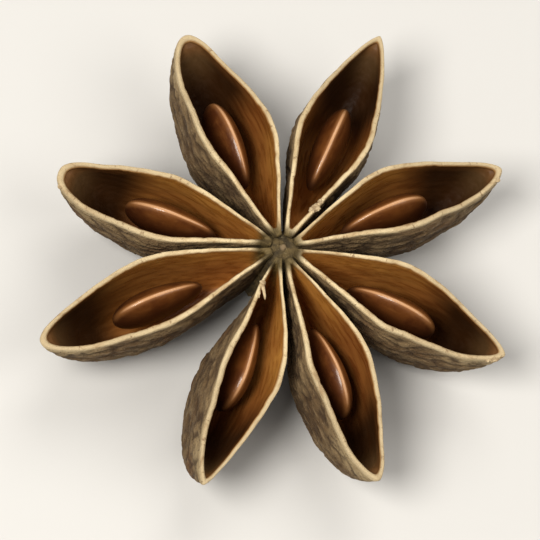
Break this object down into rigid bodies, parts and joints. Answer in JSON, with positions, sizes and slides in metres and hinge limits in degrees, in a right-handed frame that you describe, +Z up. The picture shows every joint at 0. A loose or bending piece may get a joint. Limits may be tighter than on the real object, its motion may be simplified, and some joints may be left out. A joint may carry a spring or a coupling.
{
  "type": "star anise pod",
  "caption": "Dried star anise pod: boat-shaped woody carpels joined in a star, each split open along its top with a flat glossy seed lying inside.",
  "frame": {"origin": "on the surface that the pod lies on, under the middle of its outline seen from above", "axes": "+Z up along the central column, out of the open mouths; +X and +Y to the right and up in the picture"},
  "size_m": [0.029, 0.0302, 0.0082],
  "materials": {
    "husk": "dry woody husk: wrinkled grey-brown outside, smooth golden-brown lining, pale lips",
    "seed_coat": "hard glossy red-brown seed coat"
  },
  "bodies": {
    "root": {"pod": "husk", "seed_1": "seed_coat", "seed_2": "seed_coat", "seed_3": "seed_coat", "seed_4": "seed_coat", "seed_5": "seed_coat", "seed_6": "seed_coat", "seed_7": "seed_coat", "seed_8": "seed_coat"}
  },
  "joints": []
}
